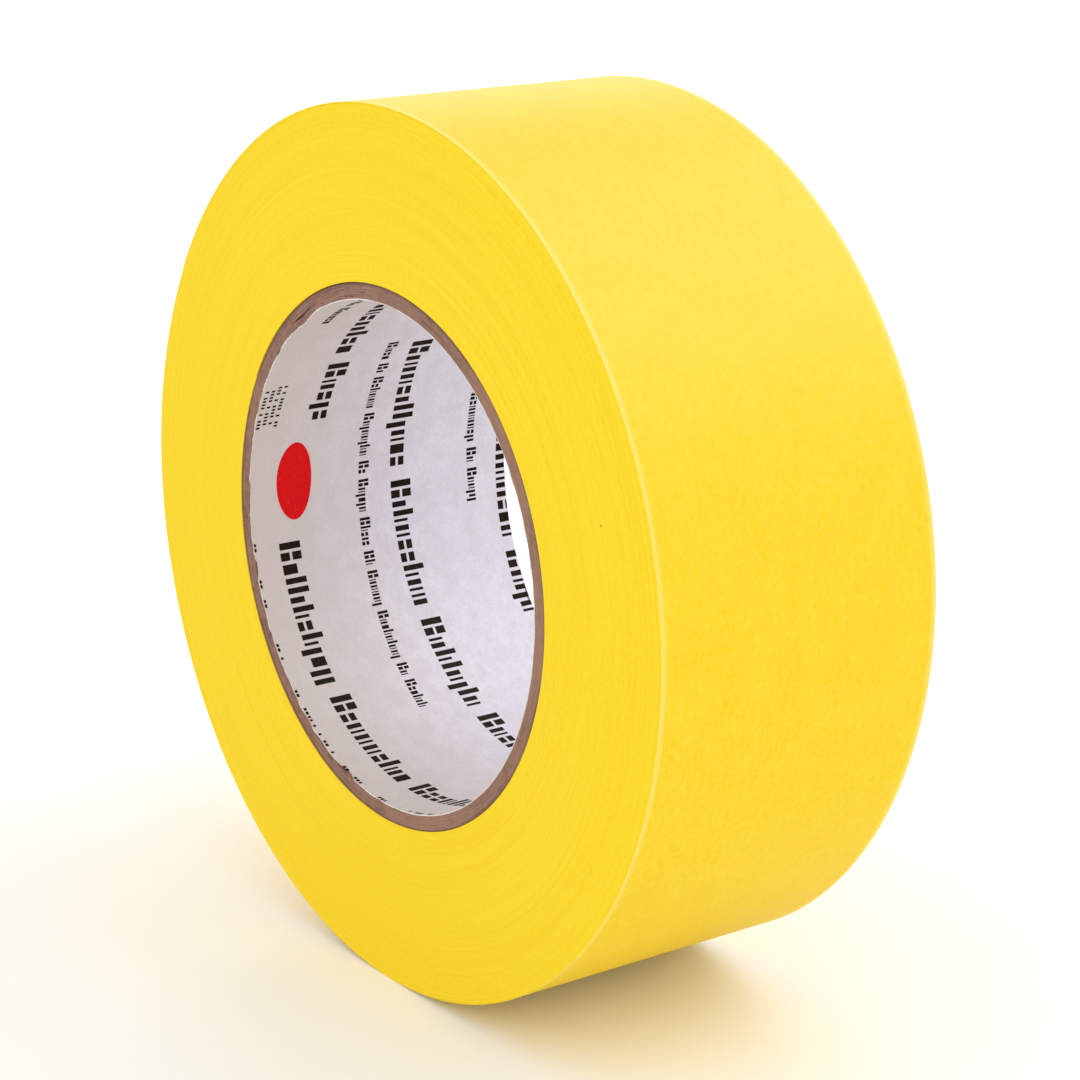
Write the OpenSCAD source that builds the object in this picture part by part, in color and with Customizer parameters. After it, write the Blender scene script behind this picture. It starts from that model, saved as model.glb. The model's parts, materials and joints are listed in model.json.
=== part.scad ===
// Roll of paper masking tape: crepe paper tape wound on a spiral-wound paperboard core.
// The roll's axis is Y, its front side faces -Y, and the origin is on the axis, halfway across the tape.
// Angles around the roll run from +X towards +Z, the way that the tape is wound outwards.

/* [Core] */
// Diameter of the core's bore, which the 3 inch standard sets
core_bore_d = 76.2; // [40:0.1:120]
// Thickness of the white paper liner that faces the bore
liner_t = 0.2; // [0.1:0.05:0.5]
// Thickness of one kraft paperboard ply
kraft_t = 0.46; // [0.3:0.02:1]
// Number of kraft paperboard plies
kraft_plies = 5; // [3:1:10]
// How far the core's front edge lies below the front side of the wound tape
core_recess = 0.1; // [0:0.05:1]
// How far the core's back edge stands out past the back side of the wound tape
core_proud = 0.6; // [0:0.05:1]

/* [Tape] */
// Width of the tape
tape_w = 48; // [12:1:100]
// Thickness of the tape with its adhesive
tape_t = 0.158; // [0.1:0.002:0.3]
// Number of turns of tape on the core
tape_turns = 163; // [20:1:260]

/* [Free end] */
// Place of the tape's cut end around the roll
end_angle = 149; // [0:1:359]
// Length of tape at the cut end that peels up from the roll
end_len = 40; // [20:1:80]
// Number of pieces that the peeling length bends between
end_pieces = 5; // [2:1:8]
// Clearance between the peeling length and the turn below it
end_lift = 0.03; // [0.01:0.01:0.05]
// Clearance between neighbouring pieces of the peeling length
end_gap = 0.05; // [0.02:0.01:0.1]

/* [Hidden] */
$fn = 180;

// Radii of the core: bore, first kraft ply, and the surface that the tape is wound on
bore_r = core_bore_d / 2;
first_ply_r = bore_r + liner_t;
wrap_r = first_ply_r + kraft_plies * kraft_t;
core_w = tape_w - core_recess + core_proud;
core_mid = (core_recess + core_proud) / 2;

// The last turn is a spiral of two half turns. The first lies about the bore's axis. The second
// has a larger radius and a centre moved towards the cut end, so it comes to rest one
// tape thickness above the place where the last turn began.
roll_r = wrap_r + tape_turns * tape_t;
late_shift = tape_t / 2;
late_r = roll_r + late_shift;

// The peeling length, as angles about the second half turn's centre
piece_turn = end_len / end_pieces / late_r * 180 / PI;
gap_turn = end_gap / late_r * 180 / PI;
root_angle = end_angle - end_pieces * piece_turn;

paper_yellow = [0.98, 0.83, 0.13];
kraft_brown = [0.59, 0.45, 0.38];
liner_white = [0.85, 0.83, 0.87];

// Moves a shape from the middle of the tape's width to the middle of the core
module about_core_middle() {
    translate([0, core_mid, 0]) children();
}

// Turns a shape made about Z so that its axis is Y, with angles from +X towards +Z
module about_y() {
    rotate([90, 0, 0]) children();
}

// Moves a shape to the centre of the last turn's second half
module about_late_centre() {
    translate([late_shift * cos(end_angle), late_shift * sin(end_angle), 0]) children();
}

// Ring or part of a ring, from its inner radius outwards
module ring(inner_r, thickness, width, start = 0, sweep = 360) {
    rotate_extrude(angle = sweep, start = start)
        translate([inner_r, -width / 2])
            square([thickness, width]);
}

// White paper liner, the core's innermost ply
module core_liner() {
    color(liner_white)
        about_core_middle()
            about_y()
                ring(bore_r, liner_t, core_w);
}

// Kraft paperboard ply, counted from the bore outwards
module core_ply(i) {
    color(kraft_brown)
        about_core_middle()
            about_y()
                ring(first_ply_r + (i - 1) * kraft_t, kraft_t, core_w);
}

// All the turns below the last one
module wound_tape() {
    color(paper_yellow)
        about_y()
            difference() {
                union() {
                    ring(0, roll_r - tape_t, tape_w, end_angle, 180);
                    about_late_centre()
                        ring(0, late_r - tape_t, tape_w, end_angle + 180, 180);
                }
                cylinder(r = wrap_r, h = 2 * tape_w, center = true);
            }
}

// The last turn, up to where the peeling length begins
module outer_turn() {
    late_sweep = root_angle - end_angle + 180;
    color(paper_yellow)
        about_y()
            union() {
                ring(roll_r - tape_t, tape_t, tape_w, end_angle, 180);
                about_late_centre()
                    ring(late_r - tape_t, tape_t, tape_w, end_angle + 180, late_sweep);
            }
}

// Piece of the peeling length, counted from the last turn to the cut end
module tape_end(i) {
    start = root_angle + (i - 1) * piece_turn + gap_turn;
    color(paper_yellow)
        about_y()
            about_late_centre()
                ring(late_r - tape_t + end_lift, tape_t - end_lift, tape_w, start, piece_turn - gap_turn);
}

core_liner();
for (i = [1:kraft_plies]) core_ply(i);
wound_tape();
outer_turn();
for (i = [1:end_pieces]) tape_end(i);
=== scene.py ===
"""Roll of yellow paper masking tape on a printed paperboard core: its looks, built round the frame.

The roll's axis is Y, its front side faces -Y, and the origin is on the axis, halfway across the tape.
Angles round the roll run from +X towards +Z, the way that the tape is wound outwards.
"""

import json
import logging
import math
import random
from dataclasses import dataclass
from enum import Enum
from typing import Callable, Sequence

import bmesh
import bpy
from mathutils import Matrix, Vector, noise


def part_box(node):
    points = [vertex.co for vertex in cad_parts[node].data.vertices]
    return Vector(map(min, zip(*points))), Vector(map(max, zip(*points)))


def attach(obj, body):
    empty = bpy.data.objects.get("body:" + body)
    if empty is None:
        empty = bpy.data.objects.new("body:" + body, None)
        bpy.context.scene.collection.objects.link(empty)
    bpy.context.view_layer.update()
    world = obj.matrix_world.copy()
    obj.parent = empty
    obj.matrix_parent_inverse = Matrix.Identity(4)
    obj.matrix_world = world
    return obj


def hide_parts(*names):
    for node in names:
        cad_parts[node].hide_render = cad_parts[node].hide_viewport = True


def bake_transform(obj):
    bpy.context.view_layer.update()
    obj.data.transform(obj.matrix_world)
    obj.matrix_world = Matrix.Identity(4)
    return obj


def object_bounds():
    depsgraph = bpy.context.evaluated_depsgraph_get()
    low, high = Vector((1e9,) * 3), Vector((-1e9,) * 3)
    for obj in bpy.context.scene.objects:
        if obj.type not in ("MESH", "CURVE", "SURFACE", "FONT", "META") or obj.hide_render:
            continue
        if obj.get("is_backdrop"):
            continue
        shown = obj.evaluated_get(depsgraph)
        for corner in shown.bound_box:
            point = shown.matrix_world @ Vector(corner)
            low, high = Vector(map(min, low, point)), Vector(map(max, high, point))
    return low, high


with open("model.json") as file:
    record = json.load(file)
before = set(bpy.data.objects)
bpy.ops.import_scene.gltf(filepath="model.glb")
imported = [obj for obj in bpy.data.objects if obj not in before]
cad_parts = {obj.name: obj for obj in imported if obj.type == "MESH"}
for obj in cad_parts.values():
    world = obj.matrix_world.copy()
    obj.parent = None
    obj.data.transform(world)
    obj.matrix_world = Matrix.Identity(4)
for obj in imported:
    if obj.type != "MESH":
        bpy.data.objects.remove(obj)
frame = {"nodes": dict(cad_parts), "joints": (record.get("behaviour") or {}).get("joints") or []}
cad_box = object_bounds()

MM = 0.001
TURN = 2 * math.pi
LOG = logging.getLogger("masking_tape_roll")


class Side(Enum):
    """One of the roll's two flat sides, by the sign of its place on Y."""

    FRONT = -1
    BACK = 1


class Slot(Enum):
    """The record's material slots."""

    TAPE = "yellow_paper"
    BOARD = "kraft_board"
    LINER = "white_liner"


# ---------------------------------------------------------------------------------------------
# Node trees written as formulas


class Wire:
    """A value that flows through a node tree, so that a tree can be written as a formula."""

    def __init__(self, graph: "Graph", socket: bpy.types.NodeSocket) -> None:
        """Holds one output socket of a graph.

        Args:
            graph: the graph that the socket is in.
            socket: the output socket.
        """
        self.graph = graph
        self.socket = socket

    def __add__(self, other: "Wire | float") -> "Wire":
        """Sum of two values."""
        return self.graph.math("ADD", self, other)

    def __radd__(self, other: float) -> "Wire":
        """Sum of a number and a value."""
        return self.graph.math("ADD", other, self)

    def __sub__(self, other: "Wire | float") -> "Wire":
        """Difference of two values."""
        return self.graph.math("SUBTRACT", self, other)

    def __rsub__(self, other: float) -> "Wire":
        """Difference of a number and a value."""
        return self.graph.math("SUBTRACT", other, self)

    def __mul__(self, other: "Wire | float") -> "Wire":
        """Product of two values."""
        return self.graph.math("MULTIPLY", self, other)

    def __truediv__(self, other: "Wire | float") -> "Wire":
        """Quotient of two values."""
        return self.graph.math("DIVIDE", self, other)


Value = Wire | float
Colour = Wire | tuple[float, float, float, float]


class Graph:
    """A node tree with short calls for the nodes that this roll needs."""

    def __init__(self, tree: bpy.types.NodeTree) -> None:
        """Holds a tree.

        Args:
            tree: the shader or geometry tree that nodes are added to.
        """
        self.tree = tree

    def node(self, kind: str, **settings: object) -> bpy.types.Node:
        """Adds a node.

        Args:
            kind: the node's type name.
            settings: the node's properties, by name.

        Returns:
            The new node.
        """
        made = self.tree.nodes.new(kind)
        for name, value in settings.items():
            setattr(made, name, value)
        return made

    def feed(self, socket: bpy.types.NodeSocket, value: object) -> None:
        """Links a wire to an input socket, or sets the socket's own value.

        Args:
            socket: the input socket.
            value: the wire, or the value to set.
        """
        if isinstance(value, Wire):
            self.tree.links.new(value.socket, socket)
        else:
            socket.default_value = value

    def out(self, node: bpy.types.Node, name: str | int = 0) -> Wire:
        """The named or numbered output of a node, as a wire."""
        return Wire(self, node.outputs[name])

    def fed(self, kind: str, *values: Value, **settings: object) -> bpy.types.Node:
        """Adds a node and feeds its inputs in order.

        Args:
            kind: the node's type name.
            values: what its first inputs are fed.
            settings: the node's properties, by name.

        Returns:
            The new node.
        """
        made = self.node(kind, **settings)
        for socket, value in zip(made.inputs, values):
            self.feed(socket, value)
        return made

    def math(self, operation: str, *values: Value) -> Wire:
        """The result of a Math node."""
        return self.out(self.fed("ShaderNodeMath", *values, operation=operation))

    def vector(self, x: Value, y: Value, z: Value) -> Wire:
        """A vector of three values."""
        return self.out(self.fed("ShaderNodeCombineXYZ", x, y, z))

    def split(self, vector: Wire) -> list[Wire]:
        """The three parts of a vector."""
        made = self.fed("ShaderNodeSeparateXYZ", vector)
        return [Wire(self, socket) for socket in made.outputs]

    def noise(self, vector: Wire, scale: Value, detail: float = 3.0, roughness: float = 0.55) -> Wire:
        """Smooth noise from 0 to 1, about 0.5.

        Args:
            vector: where the noise is read.
            scale: how many features there are to a unit of length.
            detail: how many finer layers are added.
            roughness: how strong the finer layers are.

        Returns:
            The noise's value.
        """
        made = self.node("ShaderNodeTexNoise", noise_dimensions="3D")
        settings = {"Vector": vector, "Scale": scale, "Detail": detail, "Roughness": roughness}
        for label, value in settings.items():
            self.feed(made.inputs[label], value)
        return self.out(made, 0)

    def ramp(self, value: Wire, low: float, high: float, start: Value = 0.0, end: Value = 1.0) -> Wire:
        """Maps a value smoothly from one span to another, and holds it there.

        Args:
            value: the value.
            low: where the first span starts.
            high: where it ends.
            start: the result at low and below.
            end: the result at high and above.

        Returns:
            The mapped value.
        """
        smooth = {"interpolation_type": "SMOOTHSTEP", "clamp": True}
        return self.out(self.fed("ShaderNodeMapRange", value, low, high, start, end, **smooth))

    def mix(self, share: Value, first: Colour, second: Colour) -> Wire:
        """Mixes two colours by a share from 0 to 1.

        Args:
            share: how much of the second colour there is.
            first: the colour at 0.
            second: the colour at 1.

        Returns:
            The mixed colour.
        """
        made = self.node("ShaderNodeMix", data_type="RGBA")
        factor, colour_a, colour_b = made.inputs[0], made.inputs[6], made.inputs[7]
        for socket, value in ((factor, share), (colour_a, first), (colour_b, second)):
            self.feed(socket, value)
        return self.out(made, 2)


def rgba(red: float, green: float, blue: float) -> tuple[float, float, float, float]:
    """An opaque colour in linear values."""
    return (red, green, blue, 1.0)


# ---------------------------------------------------------------------------------------------
# Shader groups that several finishes share


@dataclass(frozen=True)
class SharedGroups:
    """The shader groups, each built once."""

    around: bpy.types.NodeTree
    fibre: bpy.types.NodeTree
    specks: bpy.types.NodeTree

    @staticmethod
    def build() -> "SharedGroups":
        """Builds the three groups.

        Returns:
            The groups.
        """
        return SharedGroups(
            SharedGroups._build_around(), SharedGroups._build_fibre(), SharedGroups._build_specks()
        )

    @staticmethod
    def _start(
        name: str, inputs: dict[str, float | None], outputs: Sequence[str], vectors: Sequence[str] = ()
    ) -> tuple[Graph, bpy.types.Node]:
        """Starts a shader group.

        Args:
            name: the group's name.
            inputs: each input's default by its name, or None where it is a vector.
            outputs: the names of the outputs that are values.
            vectors: the names of the outputs that are vectors.

        Returns:
            The group's graph, and its input node.
        """
        tree = bpy.data.node_groups.new(name, "ShaderNodeTree")
        for label, default in inputs.items():
            kind = "NodeSocketVector" if default is None else "NodeSocketFloat"
            socket = tree.interface.new_socket(label, in_out="INPUT", socket_type=kind)
            if default is not None:
                socket.default_value = default
        for labels, kind in ((outputs, "NodeSocketFloat"), (vectors, "NodeSocketVector")):
            for label in labels:
                tree.interface.new_socket(label, in_out="OUTPUT", socket_type=kind)
        graph = Graph(tree)
        return graph, graph.node("NodeGroupInput")

    @staticmethod
    def _end(graph: Graph, *values: Wire) -> bpy.types.NodeTree:
        """Ends a shader group.

        Args:
            graph: the group's graph.
            values: what its outputs are fed, in order.

        Returns:
            The group's tree.
        """
        result = graph.node("NodeGroupOutput")
        for socket, value in zip(result.inputs, values):
            graph.feed(socket, value)
        return graph.tree

    @staticmethod
    def _build_around() -> bpy.types.NodeTree:
        """Place round the roll: the radius, the place on the axis, and the unit vector outwards.

        Returns:
            The group's tree.
        """
        graph, _ = SharedGroups._start("around_the_roll", {}, ("Radius", "Along"), ("Outwards",))
        place = graph.node("ShaderNodeTexCoord")
        x, y, z = graph.split(graph.out(place, "Object"))
        radius = graph.math("SQRT", x * x + z * z)
        return SharedGroups._end(graph, radius, y, graph.vector(x / radius, 0.0, z / radius))

    @staticmethod
    def _build_fibre() -> bpy.types.NodeTree:
        """Paper fibre: cloudy mottle, fine grain, and the height of both for bump.

        Returns:
            The group's tree.
        """
        scales = {"Vector": None, "Cloud Scale": 300.0, "Grain Scale": 2500.0}
        graph, given = SharedGroups._start("paper_fibre", scales, ("Cloud", "Grain", "Height"))
        vector = graph.out(given, "Vector")
        cloud = graph.noise(vector, graph.out(given, "Cloud Scale"), 5.0, 0.6)
        grain = graph.noise(vector, graph.out(given, "Grain Scale"), 3.0, 0.6)
        clouded, grained = graph.ramp(cloud, 0.3, 0.7), graph.ramp(grain, 0.25, 0.75)
        return SharedGroups._end(graph, clouded, grained, cloud * 0.35 + grain * 0.65)

    @staticmethod
    def _build_specks() -> bpy.types.NodeTree:
        """Sparse specks: a mask that is 1 inside a few of the cells' centres.

        Returns:
            The group's tree.
        """
        settings = {"Vector": None, "Scale": 90.0, "Share": 0.06, "Size": 0.02}
        graph, given = SharedGroups._start("sparse_specks", settings, ("Mask",))
        cells = graph.node("ShaderNodeTexVoronoi", feature="F1")
        graph.feed(cells.inputs["Vector"], graph.out(given, "Vector"))
        graph.feed(cells.inputs["Scale"], graph.out(given, "Scale"))
        chance, size_chance, _ = graph.split(graph.out(cells, "Color"))
        chosen = graph.math("LESS_THAN", chance, graph.out(given, "Share"))
        size = graph.out(given, "Size") * (0.4 + size_chance)
        near = graph.math("LESS_THAN", graph.out(cells, "Distance"), size)
        return SharedGroups._end(graph, chosen * near)


class FinishGraph(Graph):
    """A material's tree, with its Principled shader and the shared groups at hand."""

    def __init__(self, name: str, groups: SharedGroups) -> None:
        """Starts a material.

        Args:
            name: the material's name.
            groups: the shared groups.
        """
        self.material = bpy.data.materials.new(name)
        self.material.use_nodes = True
        super().__init__(self.material.node_tree)
        self.shader = self.tree.nodes["Principled BSDF"]
        self.groups = groups

    def object_place(self) -> Wire:
        """The place in the roll's own frame."""
        return self.out(self.node("ShaderNodeTexCoord"), "Object")

    def flat_place(self) -> Wire:
        """The place on the tape laid out flat: arc length and place on Y."""
        return self.out(self.node("ShaderNodeUVMap", uv_map="flat_strip"))

    def _shared(self, group: bpy.types.NodeTree, **inputs: Value) -> list[Wire]:
        """Places a shared group.

        Args:
            group: the shared group.
            inputs: values for its inputs, with underscores for the spaces in their names.

        Returns:
            The group's outputs, in order.
        """
        placed = self.node("ShaderNodeGroup", node_tree=group)
        for label, value in inputs.items():
            self.feed(placed.inputs[label.replace("_", " ")], value)
        return [Wire(self, socket) for socket in placed.outputs]

    def around(self) -> list[Wire]:
        """The radius, the place on the axis and the unit vector outwards."""
        return self._shared(self.groups.around)

    def fibre(self, vector: Wire, cloud: float, grain: float) -> list[Wire]:
        """Paper fibre as cloud, grain and height, from the scales of its cloud and its grain."""
        return self._shared(self.groups.fibre, Vector=vector, Cloud_Scale=cloud, Grain_Scale=grain)

    def specks(self, vector: Wire, scale: float, share: float, size: float) -> Wire:
        """A mask of sparse specks."""
        return self._shared(self.groups.specks, Vector=vector, Scale=scale, Share=share, Size=size)[0]

    def dress(self, **inputs: object) -> None:
        """Feeds or sets the shader's own sockets, with underscores for the spaces in their names."""
        for label, value in inputs.items():
            self.feed(self.shader.inputs[label.replace("_", " ")], value)

    def bump(self, height: Wire, strength: float, depth: float) -> None:
        """Feeds a height to the shader's normal.

        Args:
            height: the height, from 0 to 1.
            strength: the bump's strength.
            depth: the height's real depth in metres.
        """
        made = self.node("ShaderNodeBump")
        for label, value in (("Strength", strength), ("Distance", depth), ("Height", height)):
            self.feed(made.inputs[label], value)
        self.dress(Normal=self.out(made))


@dataclass(frozen=True)
class Finish:
    """A finish: its colours and sizes, and the shared groups that it is made with."""

    groups: SharedGroups


@dataclass(frozen=True)
class CrepeFace(Finish):
    """The tape's outer face: smooth yellow crepe paper, read in the strip's own flat coordinates."""

    half_width: float = 24 * MM
    colour: tuple = rgba(0.895, 0.628, 0.006)
    pale: tuple = rgba(0.93, 0.690, 0.09)
    deep: tuple = rgba(0.866, 0.588, 0.002)
    # worn: the paler rim colour, partly less-dyed slit-edge fibres and partly a painted highlight along
    # the roll's rim
    worn: tuple = rgba(0.93, 0.720, 0.16)
    speck: tuple = rgba(0.28, 0.13, 0.01)

    def build(self) -> bpy.types.Material:
        """Builds the material.

        Returns:
            The material.
        """
        graph = FinishGraph("crepe_face", self.groups)
        along, across, _ = graph.split(graph.flat_place())
        stretched = graph.vector(along * 0.8, across, 0.0)
        cloud, grain, height = graph.fibre(stretched, 950.0, 3200.0)
        tone = graph.noise(stretched, 190.0, 2.0, 0.5)
        creped = graph.noise(graph.vector(along * 3.2, across * 0.35, 0.0), 900.0, 2.0, 0.5)
        specks = graph.specks(graph.vector(along, across, 0.0), 62.0, 0.11, 0.019)
        mottle = cloud * 0.6 + graph.ramp(tone, 0.3, 0.7) * 0.4
        dyed = graph.mix(mottle, self.deep, self.colour)
        grained = graph.mix(grain * cloud * 0.30 + mottle * 0.15, dyed, self.pale)
        # Towards each slit edge the face is mixed towards the worn colour: paler edge fibres, and a
        # painted highlight along the rim.
        rim = graph.math("ABSOLUTE", across) - self.half_width
        frayed_edge_and_highlight = graph.ramp(rim + grain * (0.20 * MM), -1.15 * MM, -0.10 * MM)
        edged = graph.mix(frayed_edge_and_highlight * 0.8, grained, self.worn)
        graph.dress(
            Base_Color=graph.mix(specks * 0.8, edged, self.speck),
            Roughness=graph.ramp(grain, 0.0, 1.0, 0.46, 0.60),
            Specular_IOR_Level=0.17,
        )
        graph.bump(height * 0.6 + creped * 0.4, 0.35, 0.05 * MM)
        return graph.material


@dataclass(frozen=True)
class WoundSide(Finish):
    """The slit side of the wound tape: the edges of the turns as fine lines round the roll, darkened by
    painted shade in the gaps between turns.
    """

    pitch: float = 0.158 * MM
    colour: tuple = rgba(0.935, 0.665, 0.004)
    # shade: painted shade for the gaps between turns, also used to darken the grain
    shade: tuple = rgba(0.885, 0.592, 0.001)
    pale: tuple = rgba(0.955, 0.708, 0.032)
    speck: tuple = rgba(0.33, 0.17, 0.02)

    def build(self) -> bpy.types.Material:
        """Builds the material.

        Returns:
            The material.
        """
        graph = FinishGraph("wound_side", self.groups)
        radius, _, outwards = graph.around()
        out_x, _, out_z = graph.split(outwards)
        turns = radius / self.pitch
        lines = graph.noise(graph.vector(out_x * 0.9, turns * 0.55, out_z * 0.9), 1.0, 2.0, 0.6)
        bands = graph.noise(graph.vector(out_x * 0.6, turns * 0.06, out_z * 0.6), 1.0, 3.0, 0.6)
        place = graph.object_place()
        cloud, grain, height = graph.fibre(place, 1250.0, 3400.0)
        specks = graph.specks(place, 150.0, 0.035, 0.045)
        # Painted shade: the darker lines stand for the shadow in the gaps between turns.
        lined = graph.mix(graph.ramp(lines, 0.34, 0.66) * 0.6 + 0.4, self.shade, self.colour)
        banded = graph.mix(graph.ramp(bands, 0.3, 0.7) * 0.45, lined, self.colour)
        dusted = graph.mix(grain * 0.30, banded, self.shade)
        cut_dust = cloud * 0.45 + graph.ramp(lines, 0.25, 0.75) * 0.35
        fuzzed = graph.mix(cut_dust, dusted, self.pale)
        graph.dress(
            Base_Color=graph.mix(specks * 0.55, fuzzed, self.speck),
            Roughness=graph.ramp(grain, 0.0, 1.0, 0.52, 0.66),
            Specular_IOR_Level=0.14,
        )
        graph.bump(lines * 0.5 + height * 0.5, 0.25, 0.04 * MM)
        return graph.material


@dataclass(frozen=True)
class AdhesiveSide(Finish):
    """The tape's inner face, with its coat of pressure-sensitive adhesive."""

    colour: tuple = rgba(0.80, 0.56, 0.06)
    thin: tuple = rgba(0.90, 0.68, 0.14)

    def build(self) -> bpy.types.Material:
        """Builds the material.

        Returns:
            The material.
        """
        graph = FinishGraph("adhesive_side", self.groups)
        cloud, grain, height = graph.fibre(graph.flat_place(), 420.0, 1700.0)
        graph.dress(
            Base_Color=graph.mix(cloud, self.colour, self.thin),
            Roughness=graph.ramp(grain, 0.0, 1.0, 0.22, 0.40),
            Coat_Weight=0.35,
            Coat_Roughness=0.25,
        )
        graph.bump(height, 0.4, 0.04 * MM)
        return graph.material


@dataclass(frozen=True)
class KraftBoard(Finish):
    """Brown kraft paperboard: a layered, slightly furry cut edge and a smooth surface."""

    colour: tuple = rgba(0.318, 0.170, 0.112)
    light: tuple = rgba(0.380, 0.215, 0.145)
    dark: tuple = rgba(0.118, 0.046, 0.034)
    outer_r: float = 40.6 * MM
    layer: float = 0.15 * MM

    def build(self) -> bpy.types.Material:
        """Builds the material.

        Returns:
            The material.
        """
        graph = FinishGraph("kraft_board", self.groups)
        radius, _, outwards = graph.around()
        out_x, _, out_z = graph.split(outwards)
        layers = graph.noise(graph.vector(out_x * 7.0, radius / self.layer, out_z * 7.0), 1.0, 3.0, 0.65)
        cloud, grain, height = graph.fibre(graph.object_place(), 900.0, 5000.0)
        worn = graph.noise(graph.vector(out_x * 1.1, 0.0, out_z * 1.1), 1.0, 2.0, 0.6)
        # The board is darker and more streaked towards -X, where contrast is higher.
        contrast = graph.ramp(worn - out_x * 0.12, 0.35, 0.62, 0.30, 1.0)
        streaks = graph.ramp(layers, 0.62, 0.34) * contrast + (contrast - 0.3) * 0.25
        layered = graph.mix(streaks, self.colour, self.dark)
        flecked = graph.mix(cloud * 0.45, layered, self.light)
        # Painted shade: a dark band next to the tape stands for the shadow in the gap between core and
        # tape; where contrast is high it is widened to darken the outer plies as well.
        from_tape = (self.outer_r - radius) / (0.15 + contrast * 0.85)
        painted_gap_shade = graph.ramp(from_tape + layers * (0.5 * MM), 1.05 * MM, 0.15 * MM)
        graph.dress(
            Base_Color=graph.mix(painted_gap_shade * 0.8, flecked, self.dark),
            Roughness=graph.ramp(grain, 0.0, 1.0, 0.74, 0.92),
            Specular_IOR_Level=0.3,
            Sheen_Weight=0.08,
        )
        graph.bump(layers * 0.5 + height * 0.5, 0.6, 0.08 * MM)
        return graph.material


@dataclass(frozen=True)
class LinerPaper(Finish):
    """White paper of the bore's liner, with a faint cool mottle, a little rubbed dirt, and painted warm
    shade towards the front rim.
    """

    colour: tuple = rgba(0.805, 0.775, 0.868)
    cloud: tuple = rgba(0.735, 0.705, 0.790)
    # Colour of painted shade on the wall inside the bore, warmed as by bounce light from the tape and
    # board.
    painted_warm_shade: tuple = rgba(0.640, 0.560, 0.515)
    rubbed: tuple = rgba(0.52, 0.47, 0.47)
    torn: tuple = rgba(0.96, 0.93, 0.90)
    bore_r: float = 38.1 * MM

    def build(self) -> bpy.types.Material:
        """Builds the material.

        Returns:
            The material.
        """
        graph = FinishGraph("liner_paper", self.groups)
        radius, along, _ = graph.around()
        place = graph.object_place()
        cloud, grain, height = graph.fibre(place, 330.0, 1900.0)
        specks = graph.specks(place, 120.0, 0.05, 0.03)
        clouded = graph.mix(cloud, self.cloud, self.colour)
        # Painted shade: the liner darkens and warms towards the front rim.
        uneven = along + cloud * (4 * MM)
        painted_front_shade = graph.mix(graph.ramp(uneven, -25 * MM, 15 * MM, 1.0, 0.0), clouded, self.painted_warm_shade)
        fibrous = graph.mix(grain * 0.22, painted_front_shade, self.rubbed)
        specked = graph.mix(specks * 0.35, fibrous, self.rubbed)
        cut = graph.ramp(radius - self.bore_r, 0.04 * MM, 0.10 * MM) * cloud
        graph.dress(
            Base_Color=graph.mix(cut, specked, self.torn),
            Roughness=graph.ramp(grain, 0.0, 1.0, 0.5, 0.66),
            Specular_IOR_Level=0.45,
        )
        graph.bump(height, 0.4, 0.05 * MM)
        return graph.material


@dataclass(frozen=True)
class PrintInk(Finish):
    """Flexographic ink on the liner: flat, with small starved spots where paper shows through."""

    name: str = "print_ink"
    colour: tuple = rgba(0.013, 0.007, 0.003)
    starved: tuple = rgba(0.08, 0.055, 0.045)

    def build(self) -> bpy.types.Material:
        """Builds the material.

        Returns:
            The material.
        """
        graph = FinishGraph(self.name, self.groups)
        cloud, grain, height = graph.fibre(graph.object_place(), 1500.0, 5200.0)
        spots = graph.ramp(cloud * 0.6 + grain * 0.4, 0.70, 1.0)
        graph.dress(
            Base_Color=graph.mix(spots, self.colour, self.starved),
            Roughness=graph.ramp(grain, 0.0, 1.0, 0.55, 0.7),
            Specular_IOR_Level=0.06,
        )
        graph.bump(height, 0.2, 0.02 * MM)
        return graph.material


@dataclass(frozen=True)
class StudioPaper(Finish):
    """The pale seamless paper that the roll stands on."""

    colour: tuple = rgba(0.985, 0.985, 0.98)
    shade: tuple = rgba(0.975, 0.975, 0.97)

    def build(self) -> bpy.types.Material:
        """Builds the material.

        Returns:
            The material.
        """
        graph = FinishGraph("studio_paper", self.groups)
        cloud, _, _ = graph.fibre(graph.object_place(), 20.0, 900.0)
        graph.dress(
            Base_Color=graph.mix(cloud, self.shade, self.colour), Roughness=0.9, Specular_IOR_Level=0.1
        )
        return graph.material


@dataclass(frozen=True)
class Palette:
    """Every finish of the roll, built once."""

    face: bpy.types.Material
    side: bpy.types.Material
    adhesive: bpy.types.Material
    board: bpy.types.Material
    liner: bpy.types.Material
    ink: bpy.types.Material
    red_ink: bpy.types.Material
    studio: bpy.types.Material

    @staticmethod
    def build(sizes: "RollSizes") -> "Palette":
        """Builds the finishes.

        Args:
            sizes: the roll's sizes, which set where edges and turns lie.

        Returns:
            The palette.
        """
        groups = SharedGroups.build()
        red, red_starved = rgba(0.72, 0.006, 0.008), rgba(0.74, 0.06, 0.06)
        return Palette(
            face=CrepeFace(groups, half_width=sizes.half_width).build(),
            side=WoundSide(groups, pitch=sizes.pitch).build(),
            adhesive=AdhesiveSide(groups).build(),
            board=KraftBoard(groups, outer_r=sizes.wrap_r).build(),
            liner=LinerPaper(groups, bore_r=sizes.bore_r).build(),
            ink=PrintInk(groups).build(),
            red_ink=PrintInk(groups, name="red_ink", colour=red, starved=red_starved).build(),
            studio=StudioPaper(groups).build(),
        )


# ---------------------------------------------------------------------------------------------
# Sizes, all read from the frame


def radii(node: str) -> tuple[float, float]:
    """The least and greatest distance of a node's points from the roll's axis."""
    flat = [math.hypot(v.co.x, v.co.z) for v in frame["nodes"][node].data.vertices]
    return min(flat), max(flat)


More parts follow.
